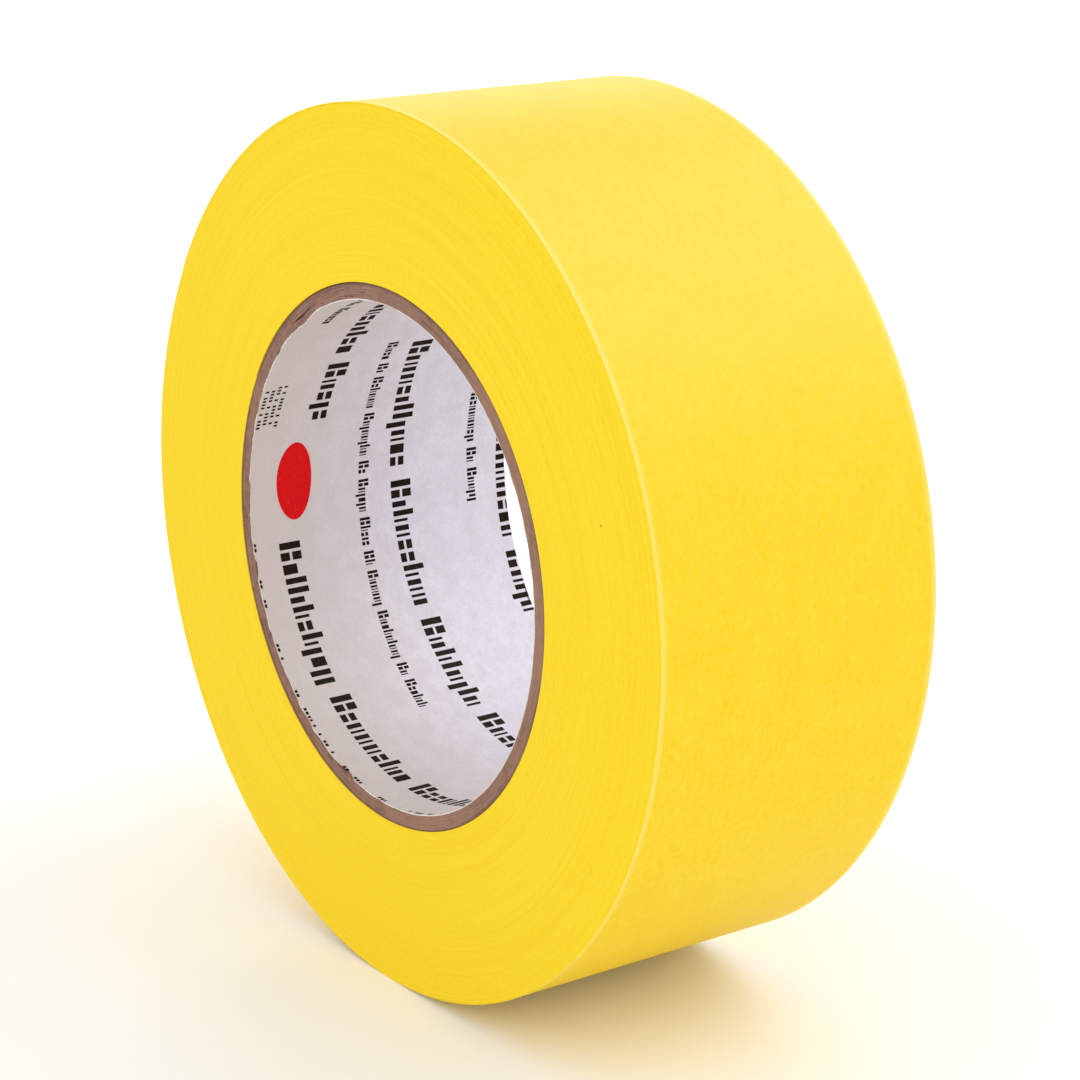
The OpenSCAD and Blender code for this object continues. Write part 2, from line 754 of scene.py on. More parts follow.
@dataclass(frozen=True)
class RollSizes:
    """The roll's sizes, in metres and radians."""

    bore_r: float
    liner_t: float
    plies: tuple[tuple[float, float], ...]
    wrap_r: float
    roll_r: float
    pitch: float
    turns: int
    half_width: float
    core_front: float
    core_back: float
    end_angle: float
    hinges: tuple[Vector, ...]

    @staticmethod
    def read() -> "RollSizes":
        """Reads the sizes from the frame's nodes and joints.

        Returns:
            The sizes.
        """
        names = sorted(n for n in frame["nodes"] if n.startswith("core_ply_"))
        liner_in, liner_out = radii("core_liner")
        wrap_r, roll_r = radii("wound_tape")
        last_in, _ = radii("outer_turn")
        pitch = roll_r - last_in
        hinges = tuple(Vector(j["pos_m"]) for j in frame["joints"])
        angles = [math.atan2(h.z, h.x) for h in hinges]
        return RollSizes(
            bore_r=liner_in,
            liner_t=liner_out - liner_in,
            plies=tuple(radii(n) for n in names),
            wrap_r=wrap_r,
            roll_r=roll_r,
            pitch=pitch,
            turns=round((roll_r - wrap_r) / pitch),
            half_width=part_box("wound_tape")[1].y,
            core_front=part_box("core_liner")[0].y,
            core_back=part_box("core_liner")[1].y,
            end_angle=angles[-1] + (angles[-1] - angles[0]) / (len(angles) - 1),
            hinges=hinges,
        )

    def surface_r(self, angle: float) -> float:
        """Radius of the last turn's outer face.

        Args:
            angle: the place, from one turn before the cut end up to the cut end.

        Returns:
            The radius there.
        """
        return self.roll_r + self.pitch * (angle - self.end_angle + TURN) / TURN


# ---------------------------------------------------------------------------------------------
# Meshes


def new_object(name: str, mesh: bpy.types.Mesh) -> bpy.types.Object:
    """Adds an object that holds a mesh to the scene.

    Args:
        name: the object's name.
        mesh: the mesh that it holds.

    Returns:
        The object.
    """
    made = bpy.data.objects.new(name, mesh)
    bpy.context.scene.collection.objects.link(made)
    return made


def tidy_mesh(mesh: bpy.types.Mesh, corner: float = math.radians(38)) -> None:
    """Welds a mesh, turns its faces outwards and shades it smooth but for its corners.

    Args:
        mesh: the mesh, which is closed.
        corner: the least angle of an edge that stays sharp.
    """
    work = bmesh.new()
    work.from_mesh(mesh)
    bmesh.ops.remove_doubles(work, verts=work.verts, dist=1e-7)
    bmesh.ops.recalc_face_normals(work, faces=work.faces)
    work.to_mesh(mesh)
    work.free()
    mesh.shade_smooth()
    mesh.set_sharp_from_angle(angle=corner)


@dataclass
class Sweep:
    """A closed section carried round the roll's axis, as a ring or as a strip with two ends."""

    name: str
    angles: Sequence[float]
    section: Callable[[float], list[tuple[float, float]]]
    closed: bool
    materials: Sequence[bpy.types.Material]
    material_of: Callable[[int], int] = lambda row: 0

    def build(self) -> bpy.types.Object:
        """Builds the swept mesh, with a flat_strip map that holds arc length and place on Y.

        Returns:
            The piece.
        """
        rows = len(self.section(self.angles[0]))
        columns = len(self.angles)
        places, flat = [], []
        for angle in self.angles:
            for radius, along in self.section(angle):
                places.append((radius * math.cos(angle), along, radius * math.sin(angle)))
                flat.append(along)
        mesh = bpy.data.meshes.new(self.name)
        spans = columns if self.closed else columns - 1
        faces, slots = [], []
        for column in range(spans):
            here, there = column * rows, ((column + 1) % columns) * rows
            for row in range(rows):
                after = (row + 1) % rows
                faces.append((here + row, here + after, there + after, there + row))
                slots.append(self.material_of(row))
        if not self.closed:
            last = (columns - 1) * rows
            faces.append(tuple(range(rows)))
            faces.append(tuple(last + row for row in reversed(range(rows))))
            slots += [0, 0]
        mesh.from_pydata(places, [], faces)
        mesh.polygons.foreach_set("material_index", slots)
        for material in self.materials:
            mesh.materials.append(material)
        tidy_mesh(mesh)
        self._map(mesh)
        return new_object(self.name, mesh)

    def _map(self, mesh: bpy.types.Mesh) -> None:
        """Writes the flat_strip map: arc length at the section's radius, and place on Y, in metres.

        Args:
            mesh: the swept mesh.
        """
        layer = mesh.uv_layers.new(name="flat_strip")
        start = self.angles[0]
        for loop in mesh.loops:
            place = mesh.vertices[loop.vertex_index].co
            turned = math.atan2(place.z, place.x) - start
            if not self.closed:
                turned = (turned + 1e-4) % TURN - 1e-4
            layer.data[loop.index].uv = (turned * place.xz.length, place.y)


def even(start: float, end: float, count: int) -> list[float]:
    """Count + 1 evenly spaced values from start to end."""
    return [start + (end - start) * k / count for k in range(count + 1)]


def wave(x: float, y: float, z: float = 0.0) -> float:
    """Smooth repeatable noise between about -1 and 1."""
    return noise.noise(Vector((x, y, z)))


class GeometryTree:
    """A geometry tree with named inputs, run once on an object to give a plain mesh."""

    def __init__(self, name: str) -> None:
        """Starts the tree, with its geometry sockets.

        Args:
            name: the tree's name.
        """
        self.tree = bpy.data.node_groups.new(name, "GeometryNodeTree")
        self.tree.interface.new_socket("Geometry", in_out="INPUT", socket_type="NodeSocketGeometry")
        self.tree.interface.new_socket("Geometry", in_out="OUTPUT", socket_type="NodeSocketGeometry")
        self.graph = Graph(self.tree)
        self.given = self.graph.node("NodeGroupInput")
        self.result = self.graph.node("NodeGroupOutput")
        self.values: dict[str, float] = {}

    def size(self, label: str, value: float) -> Wire:
        """Adds a named input.

        Args:
            label: the input's name.
            value: what it is set to.

        Returns:
            The input as a wire.
        """
        socket = self.tree.interface.new_socket(label, in_out="INPUT", socket_type="NodeSocketFloat")
        self.values[socket.identifier] = value
        return self.graph.out(self.given, label)

    def finish(self, geometry: Wire, material: bpy.types.Material) -> None:
        """Ends the tree in Realize Instances and Set Material.

        Args:
            geometry: what the tree has made.
            material: the material of its faces.
        """
        real = self.graph.node("GeometryNodeRealizeInstances")
        self.graph.feed(real.inputs[0], geometry)
        dressed = self.graph.node("GeometryNodeSetMaterial")
        self.graph.feed(dressed.inputs["Geometry"], self.graph.out(real))
        dressed.inputs["Material"].default_value = material
        self.graph.feed(self.result.inputs[0], self.graph.out(dressed))

    def run(self, name: str, base: bpy.types.Mesh) -> bpy.types.Object:
        """Runs the tree on a mesh.

        Args:
            name: the new object's name.
            base: the mesh that the tree is given.

        Returns:
            An object with the result as a plain mesh, and no modifier.
        """
        carrier = new_object(name + "_base", base)
        modifier = carrier.modifiers.new("shape", "NODES")
        modifier.node_group = self.tree
        for identifier, value in self.values.items():
            modifier[identifier] = value
        bpy.context.view_layer.update()
        ready = carrier.evaluated_get(bpy.context.evaluated_depsgraph_get())
        mesh = bpy.data.meshes.new_from_object(ready)
        mesh.name = name
        bpy.data.objects.remove(carrier)
        return new_object(name, mesh)


# ---------------------------------------------------------------------------------------------
# The tape


@dataclass
class WoundPack:
    """All the turns below the last one: two slit sides with the edge of every turn, and the walls."""

    sizes: RollSizes
    palette: Palette
    steps: int = 120
    groove: float = 0.014 * MM
    wander: float = 0.040 * MM
    seed: float = 7.31

    def _side(self, tree: GeometryTree, side: Side, inputs: dict[str, Wire]) -> Wire:
        """One slit side: a spiral sheet with a crest and a groove for every turn.

        Args:
            tree: the tree that the side is made in.
            side: which side it is.
            inputs: the tree's named inputs.

        Returns:
            The side's mesh.
        """
        graph = tree.graph
        turns, steps = inputs["Turns"], inputs["Steps"]
        grid = graph.node("GeometryNodeMeshGrid")
        graph.feed(grid.inputs["Size X"], turns * 2.0)
        graph.feed(grid.inputs["Size Y"], steps)
        graph.feed(grid.inputs["Vertices X"], turns * 2.0 + 1.0)
        graph.feed(grid.inputs["Vertices Y"], steps + 1.0)
        x, y, _ = graph.split(graph.out(graph.node("GeometryNodeInputPosition")))
        row = graph.math("ROUND", x + turns)
        column = graph.math("ROUND", y + steps * 0.5)
        share = column / steps
        crest = graph.math("FLOORED_MODULO", row, 2.0)
        ends = graph.math("COMPARE", column, 0.0, 0.1) * graph.math("COMPARE", row, 1.0, 0.1)
        last_crest = turns * 2.0 - 1.0
        tip = graph.math("COMPARE", column, steps, 0.1) * graph.math("COMPARE", row, last_crest, 0.1)
        raised = crest * (1.0 - ends) * (1.0 - tip)
        wound = row * 0.5 + share
        radius = inputs["Inner Radius"] + inputs["Pitch"] * wound
        angle = inputs["Start"] + share * TURN
        strip = graph.math("FLOOR", (row - crest) * 0.5) + share
        drift = graph.noise(graph.vector(strip * 1.35, inputs["Seed"], 0.0), 1.0, 1.0, 0.4) - 0.5
        slow = graph.noise(graph.vector(wound * 0.05, inputs["Seed"], 0.0), 1.0, 2.0, 0.5) - 0.5
        shift = (drift * raised + slow * 1.4) * inputs["Wander"]
        depth = inputs["Groove"] * (1.0 - raised)
        place = (inputs["Half Width"] - depth) * float(side.value) + shift
        moved = graph.node("GeometryNodeSetPosition")
        graph.feed(moved.inputs["Geometry"], graph.out(grid, "Mesh"))
        spun = graph.vector(
            radius * graph.math("COSINE", angle), place, radius * graph.math("SINE", angle)
        )
        graph.feed(moved.inputs["Position"], spun)
        return graph.out(moved)

    def _walls(self, tree: GeometryTree, front: Wire, inputs: dict[str, Wire]) -> Wire:
        """The walls between the two sides, drawn out from the front side's open edges.

        Args:
            tree: the tree that the walls are made in.
            front: the front side's mesh.
            inputs: the tree's named inputs.

        Returns:
            The front side with the walls.
        """
        graph = tree.graph
        drawn = graph.node("GeometryNodeExtrudeMesh", mode="EDGES")
        graph.feed(drawn.inputs["Mesh"], front)
        faces = graph.node("GeometryNodeInputMeshEdgeNeighbors")
        rim = graph.node("FunctionNodeCompare", data_type="INT", operation="EQUAL")
        graph.feed(rim.inputs[2], graph.out(faces))
        rim.inputs[3].default_value = 1
        graph.feed(drawn.inputs["Selection"], graph.out(rim))
        graph.feed(drawn.inputs["Offset"], graph.vector(0.0, 1.0, 0.0))
        span = (inputs["Half Width"] - inputs["Groove"]) * 2.0
        graph.feed(drawn.inputs["Offset Scale"], span)
        return graph.out(drawn)

    def build(self) -> bpy.types.Object:
        """Builds the pack as one closed mesh.

        Returns:
            The pack.
        """
        sizes = self.sizes
        tree = GeometryTree("spiral_wound_pack")
        values = {
            "Turns": float(sizes.turns - 1),
            "Steps": float(self.steps),
            "Inner Radius": sizes.wrap_r,
            "Pitch": sizes.pitch,
            "Half Width": sizes.half_width,
            "Start": sizes.end_angle,
            "Groove": self.groove,
            "Wander": self.wander,
            "Seed": self.seed,
        }
        inputs = {label: tree.size(label, value) for label, value in values.items()}
        graph = tree.graph
        front = self._side(tree, Side.FRONT, inputs)
        back = self._side(tree, Side.BACK, inputs)
        walls = self._walls(tree, self._weld(graph, front), inputs)
        joined = graph.node("GeometryNodeJoinGeometry")
        for part in (walls, back):
            graph.tree.links.new(part.socket, joined.inputs[0])
        tree.finish(self._weld(graph, graph.out(joined)), self.palette.side)
        pack = tree.run("wound_pack", bpy.data.meshes.new("pack_seed"))
        tidy_mesh(pack.data)
        self._dress_tread(pack.data)
        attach(pack, "roll")
        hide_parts("wound_tape")
        return pack

    def _dress_tread(self, mesh: bpy.types.Mesh) -> None:
        """Gives the pack's outer wall the tape's face, laid out as the flat strip.

        Args:
            mesh: the pack's mesh.
        """
        tread = len(mesh.materials)
        mesh.materials.append(self.palette.face)
        flat = mesh.uv_layers.new(name="flat_strip").data
        middle_r = (self.sizes.wrap_r + self.sizes.roll_r) / 2
        for polygon in mesh.polygons:
            centre = polygon.center
            if abs(polygon.normal.y) > 0.5 or math.hypot(centre.x, centre.z) < middle_r:
                continue
            polygon.material_index = tread
            middle = math.atan2(centre.z, centre.x)
            for corner in polygon.loop_indices:
                point = mesh.vertices[mesh.loops[corner].vertex_index].co
                turned = middle + math.remainder(math.atan2(point.z, point.x) - middle, TURN)
                flat[corner].uv = ((turned - self.sizes.end_angle) * self.sizes.roll_r, point.y)

    def _weld(self, graph: Graph, geometry: Wire) -> Wire:
        """Joins points that lie in one place.

        Args:
            graph: the tree's graph.
            geometry: the mesh.

        Returns:
            The mesh with its points joined.
        """
        weld = graph.node("GeometryNodeMergeByDistance")
        graph.feed(weld.inputs["Geometry"], geometry)
        weld.inputs["Distance"].default_value = 0.002 * MM
        return graph.out(weld)


@dataclass
class TapeStrip:
    """A length of the tape as it lies in the last turn, with a rounded slit edge on each side."""

    sizes: RollSizes
    palette: Palette
    edge_round: float = 0.06 * MM
    edge_curl: float = 0.035 * MM
    ridge: float = 0.014 * MM
    across: int = 22
    step: float = math.radians(0.75)

    def section(self, angle: float) -> list[tuple[float, float]]:
        """The strip's cross-section at one angle, outer face first.

        Args:
            angle: the place round the roll.

        Returns:
            Radius and place on Y of each corner.
        """
        top = self.sizes.surface_r(angle)
        low = top - self.sizes.pitch
        half = self.sizes.half_width + 0.02 * MM * wave(angle * 4.0, 3.3)
        inner = [x * (half - self.edge_round) for x in even(-1.0, 1.0, self.across)]
        shoulder = top - self.edge_round
        outer = [(shoulder, -half), *((top + self._rise(angle, x), x) for x in inner), (shoulder, half)]
        return [*outer, (low, half), *((low, x) for x in reversed(inner)), (low, -half)]

    def _rise(self, angle: float, along: float) -> float:
        """How far the outer face stands above the even spiral: soft ridges, and a curl at each edge.

        Args:
            angle: the place round the roll.
            along: the place on Y.

        Returns:
            The height in metres.
        """
        broad, fine = wave(along / (7 * MM), 0.4), wave(along / (2.6 * MM), angle * 0.8)
        ridges = self.ridge * (0.6 * broad + 0.4 * fine)
        near_edge = max(0.0, 1.0 - (self.sizes.half_width - abs(along)) / (0.9 * MM))
        return ridges * (1.0 - near_edge) + self.edge_curl * near_edge ** 2

    def material_of(self, row: int) -> int:
        """Material slot of the faces that start at a row of the section.

        Args:
            row: the row.

        Returns:
            0 for the tape's face, 1 for its slit side, 2 for its adhesive side.
        """
        outer_rows, inner_start = self.across + 2, self.across + 3
        if 1 <= row < outer_rows - 1:
            return 0
        if row < inner_start or row == inner_start + self.across + 2:
            return 1
        return 2

    def build(self, name: str, start: float, end: float) -> bpy.types.Object:
        """Builds one length of tape.

        Args:
            name: the piece's name.
            start: angle of its first end.
            end: angle of its last end.

        Returns:
            The piece.
        """
        count = max(2, math.ceil((end - start) / self.step))
        slots = (self.palette.face, self.palette.side, self.palette.adhesive)
        angles = even(start, end, count)
        return Sweep(name, angles, self.section, False, slots, self.material_of).build()


@dataclass
class FreeTape:
    """The last turn and the peeling length at its end, built as one piece round each hinge."""

    sizes: RollSizes
    palette: Palette

    def build(self) -> list[bpy.types.Object]:
        """Builds the last turn and every piece of the peeling length.

        Returns:
            The last turn, then the pieces from the first hinge on.
        """
        sizes, strip = self.sizes, TapeStrip(self.sizes, self.palette)
        hinge_angles = [math.atan2(h.z, h.x) for h in sizes.hinges]
        half_piece = (sizes.end_angle - hinge_angles[-1]) / 2
        turn = strip.build("last_turn", sizes.end_angle - TURN, hinge_angles[0])
        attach(turn, "roll")
        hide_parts("outer_turn")
        made = [turn]
        for index, hinge_angle in enumerate(hinge_angles):
            first, last = index == 0, index == len(hinge_angles) - 1
            start = hinge_angle if first else hinge_angle - half_piece
            bend_end = hinge_angle + half_piece
            end = sizes.end_angle if last else bend_end
            piece = strip.build(f"end_strip_{index + 1}", start, end)
            self._point(start)
            self._point(bend_end)
            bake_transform(piece)
            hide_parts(f"tape_end_{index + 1}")
            made.append(piece)
        return made

    def _point(self, angle: float) -> tuple[float, float, float]:
        """Point on the tape's outer face at the middle of its width."""
        radius = self.sizes.surface_r(angle)
        return (radius * math.cos(angle), 0.0, radius * math.sin(angle))


# ---------------------------------------------------------------------------------------------
# The core


@dataclass
class Core:
    """The spiral-wound core: kraft plies with furry cut edges, and the white liner."""

    sizes: RollSizes
    palette: Palette
    fray_angle: float = math.radians(123)
    fray_spread: float = math.radians(3.6)
    fray_depth: float = 2.6 * MM
    fray_open: float = 0.50 * MM
    columns: int = 620
    liner_columns: int = 480
    seam_lead: float = 150 * MM
    seam_height: float = 0.10 * MM
    seam_fade: float = 9 * MM
    creases: tuple = ((223, 2.2, Side.FRONT), (301, 3.1, Side.FRONT), (88, 2.6, Side.BACK))

    def _fray(self, angle: float, along: float) -> float:
        """How far the inner plies have come away at a place.

        Args:
            angle: the place round the core.
            along: the place on Y.

        Returns:
            A share that is 1 at the middle of the frayed spot.
        """
        off = math.remainder(angle - self.fray_angle, TURN) / self.fray_spread
        in_from_rim = (along - self.sizes.core_front) / self.fray_depth
        if abs(off) > 3 or in_from_rim > 1:
            return 0.0
        return math.exp(-off * off) * (1.0 - max(0.0, in_from_rim)) ** 1.5

    def _ply_section(self, index: int, inner: float, outer: float) -> Callable[[float], list]:
        """The section of a kraft ply, as a function of the angle.

        Args:
            index: the ply's number, from 0 at the liner.
            inner: its inner radius.
            outer: its outer radius.

        Returns:
            A function that gives the section's corners at an angle.
        """
        front_y, back_y = self.sizes.core_front, self.sizes.core_back
        loose = self.fray_open * (1.0, 0.95, 0.14, 0.05, 0.0)[index]
        from_front = (front_y + x * MM for x in (0.035, 0.5, 1.1, 1.8, 2.8, 8.0))
        walls = [*from_front, back_y - 8 * MM, back_y - 1 * MM, back_y - 0.035 * MM]
        cut = (0.03, 0.25, 0.5, 0.75, 0.97)

        def furry(angle: float, share: float, side: Side) -> float:
            """How far the cut edge stands out at a share of the ply's thickness."""
            hairs = 0.028 * MM * wave(angle * 90, share * 5 + index * 9, side.value)
            return hairs + 0.03 * MM * wave(angle * 9, index * 4.0, side.value * 2.0)

        def corner(angle: float, share: float, along: float) -> tuple[float, float]:
            """A corner at a share of the ply's thickness."""
            return inner + (outer - inner) * share - loose * self._fray(angle, along), along

        def section(angle: float) -> list[tuple[float, float]]:
            """The ply's section: front cut edge, outer wall, back cut edge, inner wall.

            Args:
                angle: the place round the core.

            Returns:
                Radius and place on Y of each corner.
            """
            front = [corner(angle, share, front_y - furry(angle, share, Side.FRONT)) for share in cut]
            top = [corner(angle, 1.0, x) for x in walls]
            back = [corner(angle, share, back_y + furry(angle, share, Side.BACK)) for share in cut]
            low = [corner(angle, 0.0, x) for x in reversed(walls)]
            return [*front, *top, *reversed(back), *low]

        return section

    def build_plies(self) -> list[bpy.types.Object]:
        """Builds each kraft ply as a ring.

        Returns:
            The plies, from the liner outwards.
        """
        made = []
        angles = even(0.0, TURN, self.columns)[:-1]
        for index, (inner, outer) in enumerate(self.sizes.plies):
            section = self._ply_section(index, inner, outer)
            ply = Sweep(f"kraft_ply_{index + 1}", angles, section, True, (self.palette.board,)).build()
            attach(ply, "roll")
            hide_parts(f"core_ply_{index + 1}")
            made.append(ply)
        return made

    def lap(self, angle: float, along: float) -> float:
        """How far the liner's lapped seam stands into the bore.

        Args:
            angle: the place round the bore.
            along: the place on Y.

        Returns:
            The height in metres: a step on one side of the seam, fading away from it.
        """
        started = self.fray_angle - math.radians(8)
        seam = -(along - self.sizes.core_front) / self.seam_lead * TURN
        past = (angle - started - seam) % TURN * self.sizes.bore_r
        return self.seam_height * math.exp(-past / self.seam_fade) if past > 0 else 0.0

    def liner_inner(self, angle: float, along: float) -> float:
        """The liner's inner face.

        Args:
            angle: the place round the bore.
            along: the place on Y.

        Returns:
            The radius there.
        """
        dents = 0.035 * MM * wave(math.cos(angle) * 5, math.sin(angle) * 5, along * 110)
        radius = self.sizes.bore_r + abs(dents) - self.lap(angle, along) - self._crease(angle, along)
        return radius - self.fray_open * self._fray(angle, along)

    def _crease(self, angle: float, along: float) -> float:
        """The short creases that the liner has near its rims.

        Args:
            angle: the place round the bore.
            along: the place on Y.

        Returns:
            Their height in metres.
        """
        height = 0.0
        for degrees, from_rim, side in self.creases:
            rim = self.sizes.core_front if side is Side.FRONT else self.sizes.core_back
            around = math.remainder(angle - math.radians(degrees), TURN) * self.sizes.bore_r / (2.0 * MM)
            across = (along - rim + side.value * from_rim * MM + around * 0.25 * MM) / (0.45 * MM)
            height += 0.14 * MM * math.exp(-min(around * around + across * across, 40.0))
        return height

    def _liner_section(self, angle: float) -> list[tuple[float, float]]:
        """The liner's section: a slightly uneven inner wall with a torn edge at each rim.

        Args:
            angle: the place round the bore.

        Returns:
            Radius and place on Y of each corner.
        """
        sizes = self.sizes
        trimmed = {}
        for side in Side:
            broad, fine = wave(angle * 16, side.value * 7.0), wave(angle * 70, side.value * 3.0)
            ragged = 0.20 * broad + 0.12 * fine
            torn = 1.2 * max(0.0, wave(angle * 6.0, 11.0 + side.value) - 0.22)
            trimmed[side] = (0.05 - ragged + torn) * MM
        front, back = sizes.core_front + trimmed[Side.FRONT], sizes.core_back - trimmed[Side.BACK]
        near = 5 * MM
        rows = [*even(front, front + near, 12), *even(front + near, back - near, 34)[1:]]
        rows += even(back - near, back, 12)[1:]
        outer_r = sizes.bore_r + sizes.liner_t
        outer = [(outer_r - self.fray_open * self._fray(angle, x), x) for x in rows]
        return [*outer, *((self.liner_inner(angle, x), x) for x in reversed(rows))]

    def build_liner(self) -> bpy.types.Object:
        """Builds the liner.

        Returns:
            The liner.
        """
        angles = even(0.0, TURN, self.liner_columns)[:-1]
        liner = Sweep("liner_paper", angles, self._liner_section, True, (self.palette.liner,)).build()
        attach(liner, "roll")
        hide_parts("core_liner")
        return liner


# ---------------------------------------------------------------------------------------------
# The print on the liner: plain blocks in rows, with no letters


class Mark(Enum):
    """A mark of a printed row, as bars: start, end, bottom and top, in shares of the tall height."""

    POST = ((0.00, 0.20, 0.0, 0.68),)
    MAST = ((0.00, 0.20, 0.0, 1.0),)
    HANGER = ((0.00, 0.20, -0.28, 0.68),)
    PAIR = ((0.00, 0.19, 0.0, 0.68), (0.30, 0.40, 0.0, 0.68))
    REVERSED_PAIR = ((0.00, 0.10, 0.0, 0.68), (0.20, 0.39, 0.0, 0.68))
    TALL_PAIR = ((0.00, 0.19, 0.0, 1.0), (0.30, 0.40, 0.0, 0.68))
    BLOCK = ((0.00, 0.34, 0.0, 0.68),)
    STACK = ((0.00, 0.32, 0.0, 0.28), (0.00, 0.32, 0.40, 0.68))
    LEAD = ((0.00, 0.24, 0.0, 1.0), (0.34, 0.62, 0.0, 0.44), (0.34, 0.62, 0.56, 1.0))

    @property
    def width(self) -> float:
        """The mark's width in shares of the tall height."""
        return max(bar[1] for bar in self.value)


class RowKind(Enum):
    """The kinds of printed row: the height of the tall marks, and how many marks each group has."""

    LARGE = (3.8 * MM, (12, 9, 8, 5))
    SMALL = (1.9 * MM, (4, 2, 6, 8, 2, 6, 5, 2, 6, 9, 2, 6))


@dataclass(frozen=True)
class PrintRow:
    """A row of blocks that runs round the bore on a shallow helix, in degrees and millimetres."""

    kind: RowKind
    start: float
    end: float
    along: float
    slope: float
    seed: int


@dataclass
class LinerPrint:
    """The liner's print: large rows, small rows, plain red ovals and a patch of dots."""

    core: Core
    sizes: RollSizes
    palette: Palette
    film: float = 0.02 * MM
    rim_margin: float = 0.12 * MM
    least_bar: float = 0.08 * MM
    mark_gap: float = 0.13
    group_gap: float = 0.42

    def _row_blocks(self, row: PrintRow) -> tuple[list[Vector], list[Vector]]:
        """Lays out a row of marks, as bars of ink.

        Args:
            row: the row.

        Returns:
            The centre and the size of each bar on the flat liner.
        """
        draw = random.Random(row.seed)
        height, groups = row.kind.value
        low_marks = (Mark.PAIR, Mark.REVERSED_PAIR, Mark.BLOCK, Mark.STACK, Mark.POST, Mark.PAIR)
        all_marks = low_marks + (Mark.MAST, Mark.TALL_PAIR, Mark.HANGER, Mark.STACK)
        marks: list[Mark | None] = []
        for length in groups:
            marks += [Mark.LEAD, *(draw.choice(all_marks) for _ in range(length - 1)), None]
        advance = [self.group_gap if mark is None else mark.width + self.mark_gap for mark in marks]
        run = math.radians(row.end - row.start) * self.sizes.bore_r
        unit = run / sum(advance)
        pen = first = math.radians(row.start) * self.sizes.bore_r
        centres, block_sizes = [], []
        for mark, step in zip(marks, advance):
            for left, right, low, high in mark.value if mark else ():
                level = row.along * MM + (pen - first) * row.slope + (low + high) / 2 * height
                centres.append(Vector((pen + (left + right) / 2 * unit, level, 0.0)))
                block_sizes.append(Vector(((right - left) * unit, (high - low) * height, self.film)))
            pen += step * unit
        return centres, block_sizes

    def _film(
        self,
        name: str,
        centres: list[Vector],
        spans: list[Vector],
        ink: bpy.types.Material,
        oval: bool = False,
    ) -> bpy.types.Object:
        """Lays blocks or ovals of ink on the liner.

        Args:
            name: the piece's name.
            centres: each block's centre on the flat liner: arc length, place on Y, height.
            spans: each block's length, width and thickness.
            ink: the ink.
            oval: whether the shapes are ovals.

        Returns:
            The piece.
        """
        base = bpy.data.meshes.new(name + "_places")
        base.from_pydata(centres, [], [])
        stored = base.attributes.new("span", "FLOAT_VECTOR", "POINT")
        for item, span in zip(stored.data, spans):
            item.vector = span
        tree = GeometryTree(name + "_layout")
        graph = tree.graph
        if oval:
            shape = graph.node("GeometryNodeMeshCylinder", fill_type="TRIANGLE_FAN")
            settings = {"Vertices": 64, "Fill Segments": 16, "Radius": 0.5, "Depth": 1.0}
        else:
            shape = graph.node("GeometryNodeMeshCube")
            settings = {"Vertices X": 4, "Vertices Y": 2, "Vertices Z": 2}
        for label, value in settings.items():
            shape.inputs[label].default_value = value
        span = graph.node("GeometryNodeInputNamedAttribute", data_type="FLOAT_VECTOR")
        span.inputs["Name"].default_value = "span"
        placed = graph.node("GeometryNodeInstanceOnPoints")
        graph.feed(placed.inputs["Points"], graph.out(tree.given, "Geometry"))
        graph.feed(placed.inputs["Instance"], graph.out(shape, "Mesh"))
        graph.feed(placed.inputs["Scale"], graph.out(span, "Attribute"))
        tree.finish(graph.out(placed), ink)
        piece = tree.run(name, base)
        for vertex in piece.data.vertices:
            arc, along, height = vertex.co
            angle = arc / self.sizes.bore_r
            radius = self.core.liner_inner(angle, along) - height - self.film * 0.3
            vertex.co = (radius * math.cos(angle), along, radius * math.sin(angle))
        tidy_mesh(piece.data)
        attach(piece, "roll")
        return piece

    def _within(self, centres: list[Vector], spans: list[Vector]) -> tuple[list[Vector], list[Vector]]:
        """Cuts the bars off at the liner's two rims, and leaves out what is past them.

        Args:
            centres: the centre of each bar.
            spans: the size of each bar.

        Returns:
            The centres and the sizes of the bars that are left.
        """
        front = self.sizes.core_front + self.rim_margin
        back = self.sizes.core_back - self.rim_margin
        kept_centres, kept_spans = [], []
        for centre, span in zip(centres, spans):
            low, high = max(centre.y - span.y / 2, front), min(centre.y + span.y / 2, back)
            if high - low > self.least_bar:
                kept_centres.append(Vector((centre.x, (low + high) / 2, 0.0)))
                kept_spans.append(Vector((span.x, high - low, span.z)))
        return kept_centres, kept_spans

    def build(self) -> list[bpy.types.Object]:
        """Builds the four kinds of print.

        Returns:
            The four pieces.
        """
        large = [
            PrintRow(RowKind.LARGE, 191, 317, -19.3, 0.024, 21),
            PrintRow(RowKind.LARGE, 39, 165, -10.4, -0.040, 22),
            PrintRow(RowKind.LARGE, 141, 267, 1.4, 0.030, 23),
            PrintRow(RowKind.LARGE, 97, 223, 23.6, -0.015, 24),
            PrintRow(RowKind.LARGE, -68, 58, 11.0, 0.030, 25),
        ]
        small = [
            PrintRow(RowKind.SMALL, 20, 128, -16.6, -0.045, 31),
            PrintRow(RowKind.SMALL, 190, 297, -25.3, 0.004, 36),
            PrintRow(RowKind.SMALL, 140, 240, -3.4, -0.020, 32),
            PrintRow(RowKind.SMALL, 87, 191, 15.2, 0.030, 33),
            PrintRow(RowKind.SMALL, -76, 31, 3.0, 0.020, 34),
        ]
        made = []
        for name, rows in (("print_large_rows", large), ("print_small_rows", small)):
            centres, spans = [], []
            for row in rows:
                more_centres, more_spans = self._row_blocks(row)
                centres += more_centres
                spans += more_spans
            made.append(self._film(name, *self._within(centres, spans), self.palette.ink))
        made.append(self._ovals())
        made.append(self._dots())
        return made

